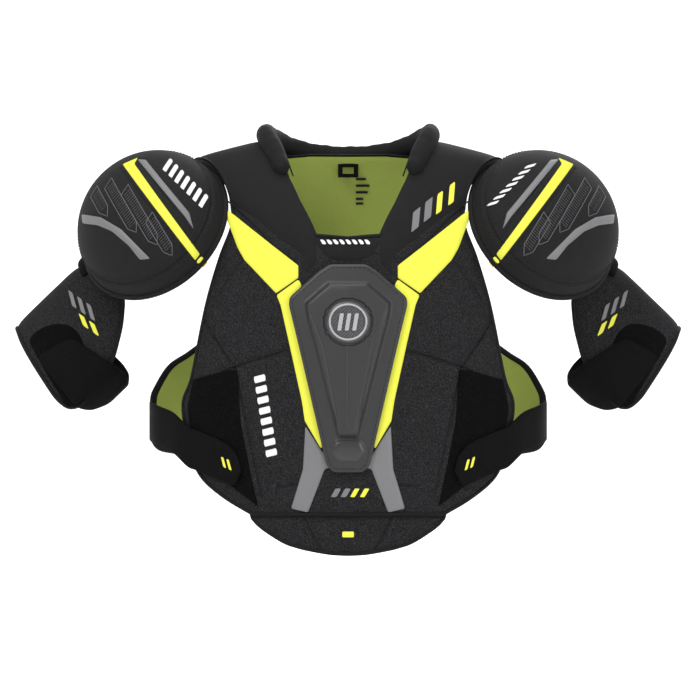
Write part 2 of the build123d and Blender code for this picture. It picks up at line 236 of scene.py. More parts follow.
def inside(p, loop):
    x, y = p[:, 0:1], p[:, 1:2]
    a, b = loop, np.roll(loop, -1, 0)
    cross = (a[:, 1] > y) != (b[:, 1] > y)
    at = (b[:, 0] - a[:, 0]) * (y - a[:, 1]) / np.where(
        b[:, 1] == a[:, 1], 1e-9, b[:, 1] - a[:, 1]
    ) + a[:, 0]
    return (cross & (x < at)).sum(1) % 2 == 1


def inward(loop, amount):
    """The loop's points moved in along their normals."""
    t = np.roll(loop, -1, 0) - np.roll(loop, 1, 0)
    n = np.stack([-t[:, 1], t[:, 0]], 1) / np.maximum(np.linalg.norm(t, axis=1), 1e-9)[:, None]
    area = (loop[:, 0] * np.roll(loop[:, 1], -1) - np.roll(loop[:, 0], -1) * loop[:, 1]).sum()
    return loop + n * amount * (1 if area > 0 else -1)


def smooth(t):
    t = np.clip(t, 0, 1)
    return t * t * (3 - 2 * t)


# ------------------------------------------------------------------ meshes
def add_mesh(name, verts, faces, material, sharp=50):
    """A mesh object from millimetres, with smooth shading and sharp edges over an angle."""
    mesh = bpy.data.meshes.new(name)
    mesh.from_pydata(
        [tuple(v) for v in np.asarray(verts) * MM], [], [tuple(int(i) for i in f) for f in faces]
    )
    mesh.validate()
    mesh.materials.append(material)
    mesh.polygons.foreach_set("use_smooth", [True] * len(mesh.polygons))
    mesh.set_sharp_from_angle(angle=math.radians(sharp))
    obj = bpy.data.objects.new(name, mesh)
    bpy.context.scene.collection.objects.link(obj)
    return obj


def outward(obj):
    """Turns a closed mesh's faces outwards."""
    bm = bmesh.new()
    bm.from_mesh(obj.data)
    bmesh.ops.recalc_face_normals(bm, faces=bm.faces)
    bm.to_mesh(obj.data)
    bm.free()
    obj.data.polygons.foreach_set("use_smooth", [True] * len(obj.data.polygons))
    return obj


def panel(name, outline, place, top, bottom, material, step=3.0, rings=(0.8, 2.0, 4.0), seams=(), sharp=50):
    """A solid sheet or pad: an outline in flat coordinates, its outer face raised by top(points, edge
    distance), its inner face at bottom. seams are (line, half width, depth) grooves."""
    loop = resample(outline, step, closed=True)
    low, high = loop.min(0), loop.max(0)
    rows = []
    for j, y in enumerate(np.arange(low[1], high[1], step * 0.866)):
        xs = np.arange(low[0] + (j % 2) * step / 2, high[0], step)
        rows.append(np.stack([xs, np.full(len(xs), y)], 1))
    grid = np.vstack(rows)
    grid = grid[inside(grid, loop)]
    reach = max(rings) if rings else 0
    edge = distance(grid, loop, closed=True)
    grid = grid[edge > reach + step * 0.6]
    extra = []
    for ring in rings:
        inner = inward(loop, ring)
        keep = inside(inner, loop) & (distance(inner, loop, closed=True) > ring * 0.9)
        extra.append(inner[keep])
    for line, half, _ in seams:
        line = resample(line, min(step, 2.5))
        t = np.gradient(line, axis=0)
        n = np.stack([-t[:, 1], t[:, 0]], 1) / np.maximum(np.linalg.norm(t, axis=1), 1e-9)[:, None]
        near = distance(grid, line)
        grid = grid[near > half * 1.6]
        rows = np.vstack([line + n * k * half for k in (-1.0, -0.45, 0.0, 0.45, 1.0)])
        keep = inside(rows, loop) & (distance(rows, loop, closed=True) > reach + 0.4)
        extra.append(rows[keep])
    points = np.vstack([loop, grid] + extra)
    result = geometry.delaunay_2d_cdt(
        [Vector(p) for p in points], [], [list(range(len(loop)))], 1, 0.02
    )
    flat = np.array([tuple(v) for v in result[0]])
    faces = [list(f) for f in result[2]]
    edge = distance(flat, loop, closed=True)
    height = top(flat, edge) if callable(top) else np.full(len(flat), float(top))
    for line, half, depth in seams:
        height = height - depth * (1 - smooth(distance(flat, resample(line, 2.0)) / half))
    low_height = bottom(flat, edge) if callable(bottom) else np.full(len(flat), float(bottom))
    count = len(flat)
    verts = np.vstack([place(flat, height), place(flat, low_height)])
    borders = {}
    for f in faces:
        for a, b in zip(f, f[1:] + f[:1]):
            borders[(a, b)] = borders.get((a, b), 0) + 1
    rim = [(a, b) for (a, b) in borders if (b, a) not in borders]
    solid = faces + [[i + count for i in f[::-1]] for f in faces]
    solid += [[b, a, a + count, b + count] for a, b in rim]
    return outward(add_mesh(name, verts, solid, material, sharp))


def frames_along(path):
    """Tangents and two steady normals along a path."""
    t = np.gradient(path, axis=0)
    t /= np.maximum(np.linalg.norm(t, axis=1), 1e-9)[:, None]
    n = np.zeros_like(path)
    ref = np.array([0.0, 0.0, 1.0]) if abs(t[0][2]) < 0.9 else np.array([0.0, 1.0, 0.0])
    for i in range(len(path)):
        ref = ref - t[i] * ref.dot(t[i])
        ref /= max(np.linalg.norm(ref), 1e-9)
        n[i] = ref
    return t, n, np.cross(t, n)


def tube(name, path, radius, material, sides=10, closed=False):
    """A round cord along a path. radius may change along it."""
    path = np.array(path, float)
    if closed:
        path = np.vstack([path, path[:1]])
    radius = np.broadcast_to(radius, (len(path),))
    _, n, b = frames_along(path)
    a = np.linspace(0, 2 * math.pi, sides, endpoint=False)
    ring = n[:, None, :] * np.cos(a)[None, :, None] + b[:, None, :] * np.sin(a)[None, :, None]
    verts = (path[:, None, :] + ring * radius[:, None, None]).reshape(-1, 3)
    faces = []
    for i in range(len(path) - 1):
        for j in range(sides):
            k = (j + 1) % sides
            faces.append((i * sides + j, i * sides + k, (i + 1) * sides + k, (i + 1) * sides + j))
    faces.append(tuple(range(sides))[::-1])
    faces.append(tuple(range((len(path) - 1) * sides, len(path) * sides)))
    return outward(add_mesh(name, verts, faces, material, 80))


def stitches(name, runs, material, length=3.2, gap=1.6, size=0.42):
    """Thread along paths: each run is a list of places in space."""
    verts, faces = [], []
    for run in runs:
        run = np.array(run, float)
        marks = resample(run, (length + gap) / 2)
        for a, b in zip(marks[:-1:2], marks[1::2]):
            t = (b - a) / max(np.linalg.norm(b - a), 1e-9)
            mid = (a + b) / 2
            up = np.array([0.0, 0.0, 1.0]) if abs(t[2]) < 0.9 else np.array([0.0, 1.0, 0.0])
            n = np.cross(t, up)
            n /= np.linalg.norm(n)
            m = np.cross(t, n)
            start = len(verts)
            for s, w in ((-0.5, 0.35), (-0.3, 1.0), (0.3, 1.0), (0.5, 0.35)):
                for k in range(5):
                    ang = 2 * math.pi * k / 5
                    verts.append(mid + t * s * length + (n * math.cos(ang) + m * math.sin(ang)) * size * w)
            for ring in range(3):
                for k in range(5):
                    q = (k + 1) % 5
                    r0, r1 = start + ring * 5, start + (ring + 1) * 5
                    faces.append((r0 + k, r0 + q, r1 + q, r1 + k))
            faces.append(tuple(start + k for k in range(5))[::-1])
            faces.append(tuple(start + 15 + k for k in range(5)))
    return outward(add_mesh(name, np.array(verts), faces, material, 80))


def mirror_copy(obj, name):
    """The same piece on the other side of the body."""
    mesh = obj.data.copy()
    mesh.name = name
    co = np.empty(len(mesh.vertices) * 3)
    mesh.vertices.foreach_get("co", co)
    co = co.reshape(-1, 3) * [-1, 1, 1]
    mesh.vertices.foreach_set("co", co.ravel())
    mesh.flip_normals()
    other = bpy.data.objects.new(name, mesh)
    bpy.context.scene.collection.objects.link(other)
    return other


# ------------------------------------------------------------------ materials
def material(name, color, rough, bump=None, second=None, specular=0.5):
    """A surface with an optional relief and an optional second colour in a fine pattern.
    bump is (kind, scale, depth in mm); second is (colour, scale, low, high, stretch)."""
    m = bpy.data.materials.new(name)
    m.use_nodes = True
    nodes, links = m.node_tree.nodes, m.node_tree.links
    shader = nodes["Principled BSDF"]
    shader.inputs["Base Color"].default_value = (*color, 1)
    shader.inputs["Roughness"].default_value = rough
    shader.inputs["Specular IOR Level"].default_value = specular
    coords = nodes.new("ShaderNodeTexCoord")
    if second:
        light, scale, low, high, stretch = second
        mapping = nodes.new("ShaderNodeMapping")
        mapping.inputs["Scale"].default_value = stretch
        links.new(coords.outputs["Object"], mapping.inputs["Vector"])
        noise = nodes.new("ShaderNodeTexNoise")
        noise.inputs["Scale"].default_value = scale
        noise.inputs["Detail"].default_value = 3.0
        noise.inputs["Roughness"].default_value = 0.65
        links.new(mapping.outputs["Vector"], noise.inputs["Vector"])
        ramp = nodes.new("ShaderNodeValToRGB")
        ramp.color_ramp.elements[0].position = low
        ramp.color_ramp.elements[0].color = (*color, 1)
        ramp.color_ramp.elements[1].position = high
        ramp.color_ramp.elements[1].color = (*light, 1)
        links.new(noise.outputs["Fac"], ramp.inputs["Fac"])
        links.new(ramp.outputs["Color"], shader.inputs["Base Color"])
    if bump:
        kind, scale, depth = bump
        if kind == "noise":
            tex = nodes.new("ShaderNodeTexNoise")
            tex.inputs["Scale"].default_value = scale
            tex.inputs["Detail"].default_value = 4.0
            out = tex.outputs["Fac"]
        elif kind == "grain":
            tex = nodes.new("ShaderNodeTexVoronoi")
            tex.feature = "DISTANCE_TO_EDGE"
            tex.inputs["Scale"].default_value = scale
            out = tex.outputs["Distance"]
        else:
            tex = nodes.new("ShaderNodeTexWave")
            tex.bands_direction = kind
            tex.inputs["Scale"].default_value = scale
            out = tex.outputs["Fac"]
        links.new(coords.outputs["Object"], tex.inputs["Vector"])
        relief = nodes.new("ShaderNodeBump")
        relief.inputs["Strength"].default_value = 0.8
        relief.inputs["Distance"].default_value = depth * MM
        links.new(out, relief.inputs["Height"])
        links.new(relief.outputs["Normal"], shader.inputs["Normal"])
    return m


HEATHER = material(
    "heather", (0.0012, 0.0012, 0.0014), 0.85, ("noise", 1400, 0.30),
    ((0.030, 0.030, 0.032), 1150, 0.45, 0.75, (1.0, 1.0, 0.7)), specular=0.12
)
SMOOTH = material(
    "smooth_fabric", (0.0014, 0.0014, 0.0016), 0.80, ("noise", 1500, 0.25),
    ((0.007, 0.007, 0.0074), 1500, 0.45, 0.75, (1.0, 1.0, 1.0)), specular=0.16
)
LIME = material(
    "lime_liner", (0.20, 0.245, 0.050), 0.8, ("noise", 1500, 0.1),
    ((0.25, 0.30, 0.065), 1400, 0.4, 0.7, (1.0, 1.0, 1.0)), specular=0.1
)
NEON = material("neon", (0.44, 0.445, 0.050), 0.8, ("grain", 650, 0.06), specular=0.0)
GREY = material("grey", (0.090, 0.090, 0.093), 0.55, ("grain", 650, 0.10), specular=0.35)
PLATE = material("plate", (0.0080, 0.0080, 0.0086), 0.46, ("grain", 500, 0.10), specular=0.34)
CROWN = material("plate_crown", (0.0060, 0.0060, 0.0065), 0.28, ("noise", 900, 0.03), specular=0.45)
PILE = material(
    "loop_pile", (0.0010, 0.0010, 0.0012), 0.95, ("noise", 1100, 0.8),
    ((0.006, 0.006, 0.006), 900, 0.5, 0.75, (1.0, 1.0, 1.0)), specular=0.05
)
WEB = material(
    "webbing", (0.0009, 0.0009, 0.0010), 0.85, ("noise", 1500, 0.3),
    ((0.004, 0.004, 0.0042), 1500, 0.45, 0.75, (1.0, 1.0, 1.0)), specular=0.07
)
BIND = material("binding", (0.0018, 0.0018, 0.0020), 0.75, ("noise", 1500, 0.2), specular=0.15)
FOAM = material("foam", (0.02, 0.02, 0.022), 0.9)
SHELL = material("shell", (0.03, 0.03, 0.032), 0.5)
BADGE = material("badge", (0.014, 0.014, 0.015), 0.35, specular=0.5)
RING = material("badge_ring", (0.20, 0.20, 0.21), 0.35, specular=0.6)
THREAD = material("thread", (0.008, 0.008, 0.009), 0.8, specular=0.2)
LINE = material("printed_line", (0.075, 0.075, 0.08), 0.6, specular=0.3)
WHITE = material("mark", (0.42, 0.42, 0.42), 0.55)
COVER = material(
    "cap_cover", (0.0012, 0.0012, 0.0014), 0.80, ("noise", 1300, 0.45),
    ((0.009, 0.009, 0.0095), 1200, 0.45, 0.75, (1.0, 1.0, 1.0)), specular=0.18
)

SLOTS = {
    "heather_fabric": HEATHER, "black_fabric": SMOOTH, "lime_liner": LIME, "neon_trim": NEON,
    "grey_trim": GREY,
    "moulded_plate": PLATE, "loop_pile": PILE, "webbing": WEB, "binding": BIND, "foam": FOAM,
    "shell_insert": SHELL, "badge": BADGE,
}
SLOT_OF = {entry["node"]: entry["material_slot"] for entry in frame["record"]["subparts"]}
for node, obj in frame["nodes"].items():
    obj.data.materials.clear()
    obj.data.materials.append(SLOTS[SLOT_OF[node]])


def put(obj, body, replaces=()):
    """Places a finished piece on a body and hides the nodes it stands for."""
    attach(obj, body)
    if replaces:
        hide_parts(*replaces)
    return obj


def pillow(base, crown, width):
    """Height of a pad: low at the edge, full inside."""
    return lambda p, d: base + crown * (1 - np.exp(-d / width))


# ------------------------------------------------------------------ chest panel
side = spline([(120, -33), (119, -62), (131, -98), (144, -147), (158, -221), (167, -254), (158, -310)])
corner = spline([(158, -310), (146, -331), (124, -350), (98, -366)])
CHEST = both(np.vstack([[(0, -76), (33, -73), (62, -31)], side, corner[1:], [(0, -366)]]))
chest_seams = [
    ([(148, -158), (130, -188), (115, -212), (131, -221)], 2.6, 2.4),
    ([(115, -212), (92, -204), (62, -195)], 2.6, 2.4),
    ([(114, -214), (104, -266), (88, -346)], 2.4, 2.0),
    ([(70, -336), (38, -334)], 2.0, 1.6),
    ([(108, -102), (134, -140)], 2.2, 1.6),
]
chest_seams += [(flip(line), w, d) for line, w, d in chest_seams]
chest = panel(
    "chest_cover", CHEST, FRONT_FORM, pillow(10.5, 3.2, 5.0), 2.9, HEATHER, 3.2, seams=chest_seams
)
put(chest, "chest_unit", ["chest_panel", "chest_binding"])
edge = resample(inward(resample(CHEST, 2.5, True), 1.4), 3.0, True)
put(tube("chest_piping", FRONT_FORM(edge, 11.2), 2.1, BIND, closed=True), "chest_unit")

def bars(name, place, start, along, across, count, height, body, finish, gap=0.5):
    """A row of slanted printed bars: start is the row's first corner, along its whole run,
    across a bar's rise."""
    start, along, across = (np.array(v, float) for v in (start, along, across))
    step = along / count
    for i in range(count):
        a = start + step * i
        quad = np.array([a, a + step * gap, a + step * gap + across, a + across])
        piece = panel(
            f"{name}_{i}", rounded(quad, 0.5, 3), place, height + 0.35, height - 1.2, finish, 2.5,
            rings=()
        )
        put(piece, body)


neon_upper = [
    (127.5, -42), (111, -87), (104, -100), (76, -131), (72.5, -135), (50, -119), (50, -106), (77, -84)
]
neon_lower = [
    (72, -137), (68, -147), (47, -247), (44, -268), (27.5, -297), (24, -288), (50, -150), (47, -126),
    (50, -120.5)
]
grey_lower = [
    (43.5, -273), (27, -299), (18, -306), (18, -316), (24, -318), (41, -363), (58, -359), (46, -318)
]
for label, shape, mat, slot, node in (
    ("neon_upper", neon_upper, NEON, "neon_trim", "neon_inlays_upper"),
    ("neon_lower", neon_lower, NEON, "neon_trim", "neon_inlays_lower"),
    ("grey_lower", grey_lower, GREY, "grey_trim", "grey_inlays_lower"),
):
    piece = panel(
        label + "_left", rounded(shape, 1), FRONT_FORM, pillow(14.2, 1.5, 1.2), 12.5, mat, 2.5,
        rings=(0.5, 1.4)
    )
    put(piece, "chest_unit", [node])
    put(mirror_copy(piece, label + "_right"), "chest_unit")

loop_shape = rounded(
    [
        (112, -214), (134, -219), (154, -225), (159.5, -254), (157, -276), (150, -310), (91, -357),
        (97, -330), (108, -270)
    ],
    2
)
piece = panel(
    "loop_left", loop_shape, FRONT_FORM, pillow(14.6, 1.2, 2.0), 12.8, PILE, 2.5, rings=(0.6, 1.6)
)
put(piece, "chest_unit", ["chest_loop_patches"])
put(mirror_copy(piece, "loop_right"), "chest_unit")

insert = panel("neck_insert_soft",
rounded(both([(0, -78), (34, -78), (25, -97), (14, -102), (0, -103)]), 3), FRONT_FORM,
               pillow(12.6, 3.0, 4.0), 11.0, SMOOTH, 2.5)
put(insert, "chest_unit", ["neck_insert"])

# ------------------------------------------------------------------ sternum plate
STERNUM = rounded(
    both([(0, -105), (18, -105), (30, -113), (58, -139), (59, -147), (22, -314), (15, -321), (0, -321)]),
    3
)
CROWN_EDGE = np.array(both([(0, -126), (18, -126), (40, -146), (39, -158), (9, -282), (0, -282)]))
LIP = both([(0, -288), (13, -288), (17, -300), (11, -310), (0, -310)])


def plate_top(p, d):
    """The plate's relief: a flat stitched border, a chamfer, and a crown with a ridge down its middle."""
    base = 19.4 + 1.6 * smooth(d / 2.0)
    rise = distance(p, CROWN_EDGE, True) * np.where(inside(p, CROWN_EDGE), 1, -1)
    crown = 6.0 * smooth((rise + 3.5) / 5.0)
    ridge = 1.2 * np.clip(1 - np.abs(p[:, 0]) / 26, 0, 1)
    lip = distance(p, LIP, True) * np.where(inside(p, LIP), 1, -1)
    dish = np.where(np.hypot(p[:, 0], p[:, 1] + 165) < 24.5, -1.4, 0)
    return base + crown + ridge * smooth(rise / 6) + 1.8 * smooth((lip + 1.5) / 2.5) + dish * smooth(rise)


plate_lines = [
    ([(0, -190), (0, -280)], 1.0, 0.6),
    ([(39, -150), (25, -190), (8, -282)], 1.2, 0.7),
    ([(-39, -150), (-25, -190), (-8, -282)], 1.2, 0.7),
]
plate = panel(
    "sternum_plate", STERNUM, FRONT_FORM, plate_top, 16.6, PLATE, 1.7, rings=(0.5, 1.2, 2.0),
    seams=plate_lines, sharp=35
)
put(plate, "chest_unit", ["sternum_guard"])
border = resample(inward(resample(STERNUM, 2, True), 3.4), 2, True)
put(stitches("plate_stitches", [FRONT_FORM(border, 21.2)], THREAD), "chest_unit")


def disc(r0, r1, n=72):
    a = np.linspace(0, 2 * math.pi, n, endpoint=False)
    return np.stack([r0 * np.cos(a), -165 + r1 * np.sin(a)], 1)


def hatch(p, d):
    """A dome with fine diagonal ribs inside a raised ring."""
    r = np.hypot(p[:, 0], p[:, 1] + 165)
    ribs = 0.45 * np.cos((p[:, 0] + p[:, 1]) * 2 * math.pi / 4.2)
    return 28.2 + np.where(r < 16.5, ribs,
    0) + 1.5 * smooth((r - 16.8) / 1.2) - 1.2 * smooth((r - 19.6) / 1.6)


lip_loop = rounded(both([(0, -290), (12, -290), (16, -300), (10, -309), (0, -309)]), 2)
put(
    panel("plate_lip", lip_loop, FRONT_FORM, pillow(22.8, 0.9, 1.5), 20.0, CROWN, 2.0, rings=(0.5, 1.3)),
    "chest_unit"
)

badge = panel("badge_disc", disc(21.4, 21.4), FRONT_FORM, hatch, 24.5, BADGE, 1.1, rings=(0.4, 0.9, 1.5))
put(badge, "chest_unit", ["sternum_badge"])
put(tube("badge_ring", FRONT_FORM(disc(18.2, 18.2), 29.4), 1.15, RING, closed=True), "chest_unit")
for j, w in enumerate(np.arange(-15.0, 15.1, 2.5)):
    reach = math.sqrt(17.0**2 - w * w)
    run = np.array([[-reach, w], [reach, w]]) @ np.array([[0.7071, 0.7071], [-0.7071, 0.7071]]) + [0, -165]
    put(
        tube(f"badge_hatch_{j}", FRONT_FORM(resample(run, 2.0), 28.75), 0.32, LINE, sides=6),
        "chest_unit"
    )
for j, x in enumerate((-7.5, 0, 7.5)):
    bar = rounded([(x - 3.4, -174), (x + 0.6, -174), (x + 3.4, -156), (x - 0.6, -156)], 0.5, 3)
    put(panel(f"badge_bar_{j}", bar, FRONT_FORM, 30.0, 27.5, RING, 1.5, rings=()), "chest_unit")

# ------------------------------------------------------------------ belly pad
foot = spline(
    [(101, -368), (90.5, -379.5), (68, -394.5), (52, -400.5), (37, -404), (18, -407.2), (0, -408.2)]
)
BELLY = both(np.vstack([[(0, -365.2), (101, -365.2)], foot[1:]]))
belly_seams = [([(46, -368), (27, -405)], 2.2, 1.8), ([(-46, -368), (-27, -405)], 2.2, 1.8)]
belly = panel("belly_soft", BELLY, FRONT_FORM, pillow(6.5, 5.5, 5.0), 1.0, HEATHER, 2.8, seams=belly_seams)
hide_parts("belly_pad", "belly_binding")
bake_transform(belly)
edge = resample(inward(resample(BELLY, 2.5, True), 1.6), 3.0, True)
piping = tube("belly_piping", FRONT_FORM(edge, 7.4), 2.4, BIND, closed=True)
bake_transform(piping)
tag = rounded([(-6, -383), (6, -383), (6, -389), (-6, -389)], 0.8, 3)
put(panel("belly_tag", tag, FRONT_FORM, 12.3, 11.0, NEON, 1.5, rings=(0.5,)), "belly_unit")

# ------------------------------------------------------------------ yokes, epaulets and clavicle pads
def split(obj, name, keep):
    """Moves the faces whose centre keep() refuses to a second mesh."""
    mesh = obj.data
    co = np.empty(len(mesh.vertices) * 3)
    mesh.vertices.foreach_get("co", co)
    co = co.reshape(-1, 3) / MM
    faces = [tuple(p.vertices) for p in mesh.polygons]
    chosen = [keep(co[list(f)].mean(0)) for f in faces]
    made = []
    for part, label in ((True, obj.name), (False, name)):
        mine = [f for f, c in zip(faces, chosen) if c == part]
        used = sorted({i for f in mine for i in f})
        place = {v: i for i, v in enumerate(used)}
        made.append(
            add_mesh(
                label + "_part", co[used], [tuple(place[i] for i in f) for f in mine],
                mesh.materials[0], 50
            )
        )
    bpy.data.objects.remove(obj)
    return made


def over(x, y):
    """The arc coordinate of a place seen from above."""
    centre = np.float64(float(crest(x)) - RISE)
    depth = abs(float(form_y(np.float64(x), centre, -1 if y < 0 else 1)))
    return (x, ARC * math.acos(max(-1, min(1, -y / depth * 0.94))))


def arch_over_cap(p, out):
    """The shoulder arch, pushed out wherever it would sink into the cap, so that its end lies on the cap."""
    place = arch(p, out)
    local = (place - CAP_C) @ CAP_FRAME
    half = CAP_HALF[None, :] + (1.5 + 0.42 * np.clip(out, 0, 20))[:, None]
    size = np.sqrt(((local / half) ** 2).sum(1))
    size = np.where(size < 1, size, 1.0)
    return (local / size[:, None]) @ CAP_FRAME.T + CAP_C


yoke_edge = [over(168, 2), over(157, -22)] + [
    arch_at(x, z) for x, z in ((147, -14), (140, -31), (133, -42))
]
pad_edge = [
    arch_at(x, z) for x,
    z in (
        (78, -84), (51, -103), (53, -122), (40, -124), (27, -106), (29, -84), (38, -64), (50, -42),
        (61, -20)
    )
]
rear_edge = [
    (80, 230), (86, 262), (80, 296), (77, 330), arch_at(77, -38, 1), arch_at(113, -38, 1),
    arch_at(122, -14, 1), over(145, 46), over(160, 26)
]
yoke_shape = rounded(yoke_edge + pad_edge + rear_edge, 4, 5)


def yoke_top(p, d):
    """A full pad on the shoulder that thins where its lower end runs under the plate."""
    full = 10.5 + 5.2 * (1 - np.exp(-d / 6.0))
    z = arch(p, np.full(len(p), 10.0))[:, 2]
    front = p[:, 1] < ARC * math.pi / 2
    return np.where(front, full - 0.4 * smooth((-92 - z) / 20), full)


whole = panel(
    "yoke_soft_left", yoke_shape, arch_over_cap, yoke_top, lambda p,
    d: np.where(p[:, 0] > 126, 9.0, 1.0), SMOOTH, 2.8
)
yoke, clavicle = split(whole, "clavicle_soft_left", lambda c: c[2] > -22 or c[1] > 0)
for label, k in (("left", 1), ("right", -1)):
    over_shoulder = yoke if k == 1 else mirror_copy(yoke, "yoke_soft_right")
    down_chest = clavicle if k == 1 else mirror_copy(clavicle, "clavicle_soft_right")
    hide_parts("yoke_" + label, "epaulet_" + label)
    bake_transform(over_shoulder)
    if k == 1:
        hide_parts("clavicle_pads")
    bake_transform(down_chest)
pad_line = resample([arch_at(x, z) for x, z in ((126, -44), (78, -87.5), (53, -106))], 2)
put(tube("pad_edge_left", arch(pad_line, 14.0), 0.9, BIND), "chest_unit")
put(tube("pad_edge_right", arch(pad_line, 14.0) * [-1, 1, 1], 0.9, BIND), "chest_unit")

# ------------------------------------------------------------------ collar roll
def roll(name, path, wide, thick, mat, sides=28):
    """A padded roll of oval section. wide and thick change along it."""
    t = np.gradient(path, axis=0)
    t /= np.linalg.norm(t, axis=1)[:, None]
    up = np.array([0, 0, 1.0]) - t * t[:, 2:3]
    up /= np.linalg.norm(up, axis=1)[:, None]
    out = np.cross(t, up)
    a = np.linspace(0, 2 * math.pi, sides, endpoint=False)
    ring = up[:, None] * (wide[:, None] * np.sin(a))[:, :, None] + out[:, None] * (
        thick[:, None] * np.cos(a)
    )[:, :, None]
    verts = (path[:, None] + ring).reshape(-1, 3)
    faces = [(i * sides + j, i * sides + (j + 1) % sides,
              (i + 1) * sides + (j + 1) % sides, (i + 1) * sides + j)
             for i in range(len(path) - 1) for j in range(sides)]
    faces.append(tuple(range(sides))[::-1])
    faces.append(tuple(range((len(path) - 1) * sides, len(path) * sides)))
    return outward(add_mesh(name, verts, faces, mat, 80))


half = [
    (0, 63, 17), (32, 60, 19), (60, 47, 25), (80, 24, 33), (88, -4, 36), (85, -30, 30), (76, -54, 13),
    (68, -72, -9)
]
path = spline([(-x, y, z) for x, y, z in half[:0:-1]] + half, per=12)
path = resample(path, 3.0)
ends = np.minimum(np.arange(len(path)), np.arange(len(path))[::-1]) * 3.0
wave = np.arange(len(path)) * 3.0
wobble = 0.35 * np.sin(wave * 0.21) + 0.25 * np.sin(wave * 0.47 + 1)
taper = np.sqrt(np.clip(ends / 7, 0.02, 1))
side_ways = smooth((np.abs(path[:, 0]) - 50) / 40)
collar = roll(
    "collar_soft", path, (10.5 + 1.5 * side_ways + wobble) * taper, (7.0 + 3.0 * side_ways) * taper,
    SMOOTH
)
put(collar, "back_unit", ["collar_roll"])
for k in (1, -1):
    seam = path[(path[:, 0] * k > 30) & (path[:, 1] < 20)]
    put(
        tube(f"collar_seam_{'left' if k == 1 else 'right'}", seam - [k * 10.2, 0, 2.0], 0.8, BIND),
        "back_unit"
    )

# ------------------------------------------------------------------ back
back_side = spline([(118, -38), (112, -70), (118, -110), (136, -150), (146, -176)])
back_foot = spline([(146, -318), (104, -345), (0, -368)])
BACK_SHAPE = both(np.vstack([[(0, 17), (40, 17), (71, 14), (75, -38)], back_side, back_foot]))
back = panel("back_cover", BACK_SHAPE, BACK_FORM, pillow(10.5, 3.2, 5.0), 2.9, HEATHER, 4.0,
             seams=[([(60, -60), (66, -320)], 2.4, 1.8), ([(-60, -60), (-66, -320)], 2.4, 1.8)])
put(back, "back_unit", ["back_panel", "back_binding"])
edge = resample(inward(resample(BACK_SHAPE, 2.5, True), 1.4), 3.0, True)
put(tube("back_piping", BACK_FORM(edge, 6.5), 2.6, BIND, closed=True), "back_unit")

liner_seams = [(np.array([(23, 2), (20, -30), (13, -73)]), 1.6, -1.0),
(np.array([(-23, 2), (-20, -30), (-11, -73)]), 1.6, -1.0),
               (np.array([(60, 0), (52, -40), (50, -80)]), 1.6, -1.0),
               (np.array([(-60, 0), (-52, -40), (-50, -80)]), 1.6, -1.0)]


def liner_low(p, d):
    low = -0.6 - 1.2 * smooth(d / 5)
    for line, half_width, depth in liner_seams:
        low = low - depth * (1 - smooth(distance(p, resample(line, 2.0)) / half_width))
    return low


liner_shape = inward(resample(BACK_SHAPE, 3, True), 2.0)
liner = panel("liner_soft", liner_shape, BACK_FORM, 2.6, liner_low, LIME, 3.4)
put(liner, "back_unit", ["back_liner"])
put(
    panel("chest_lining", inward(resample(CHEST, 3, True), 2.5), FRONT_FORM, 2.8, 0.4, LIME, 5.0),
    "chest_unit", ["chest_liner"]
)

wing_top = spline([(140, -172), (149, -182), (172, -200), (191, -214), (205, -239), (207.5, -250)])
wing_foot = spline([(207.5, -290), (200, -300), (180, -305), (140, -317)])
WING = np.vstack([wing_top, wing_foot])
wing = panel("wing_left_soft", WING, BACK_FORM, pillow(8.0, 3.0, 5.0), pillow(2.0, -1.6, 4.0), LIME, 3.2)
put(wing, "back_unit", ["back_wings"])
put(mirror_copy(wing, "wing_right_soft"), "back_unit")
wing_out = panel(
    "wing_left_face", inward(resample(WING, 3, True), 1.0), BACK_FORM, 13.0, 10.9, HEATHER, 4.0
)
put(wing_out, "back_unit")
put(mirror_copy(wing_out, "wing_right_face"), "back_unit")
edge = resample(WING[3:-3], 3.0)
wing_pipe = tube("wing_left_piping", BACK_FORM(edge, 5.5), 4.2, BIND)
put(wing_pipe, "back_unit")
put(mirror_copy(wing_pipe, "wing_right_piping"), "back_unit")

# ------------------------------------------------------------------ shoulder caps
def cap_dome(name, grow, floor, mat, relief=None, rings=60, around=150):
    """The cap's dome as a closed thin shell between two grown ellipsoids."""
    outer, inner = grow
    shells = []
    for g in (outer, inner):
        phi = np.linspace(0, math.pi / 2 - floor, rings)
        th = np.linspace(0, 2 * math.pi, around, endpoint=False)
        ph, tt = np.meshgrid(phi, th, indexing="ij")
        half = CAP_HALF + g
        local = np.stack(
            [half[0] * np.sin(ph) * np.cos(tt), half[1] * np.sin(ph) * np.sin(tt), half[2] * np.cos(ph)],
            2
        )
        if g == outer and relief is not None:
            n = local / half**2
            n /= np.linalg.norm(n, axis=2, keepdims=True)
            world = local.reshape(-1, 3) @ CAP_FRAME.T + CAP_C
            local = local + n * relief(world, ph.ravel()).reshape(ph.shape)[:, :, None]
        shells.append((local.reshape(-1, 3) @ CAP_FRAME.T) + CAP_C)
    count = rings * around
    verts = np.vstack(shells)
    faces = []
    for i in range(rings - 1):
        for j in range(around):
            k = (j + 1) % around
            a, b, c, d = i * around + j, i * around + k, (i + 1) * around + k, (i + 1) * around + j
            faces.append((a, b, c, d))
            faces.append((a + count, d + count, c + count, b + count))
    last = (rings - 1) * around
    for j in range(around):
        k = (j + 1) % around
        faces.append((last + j, last + k, last + k + count, last + j + count))
    return outward(add_mesh(name, verts, faces, mat, 60))


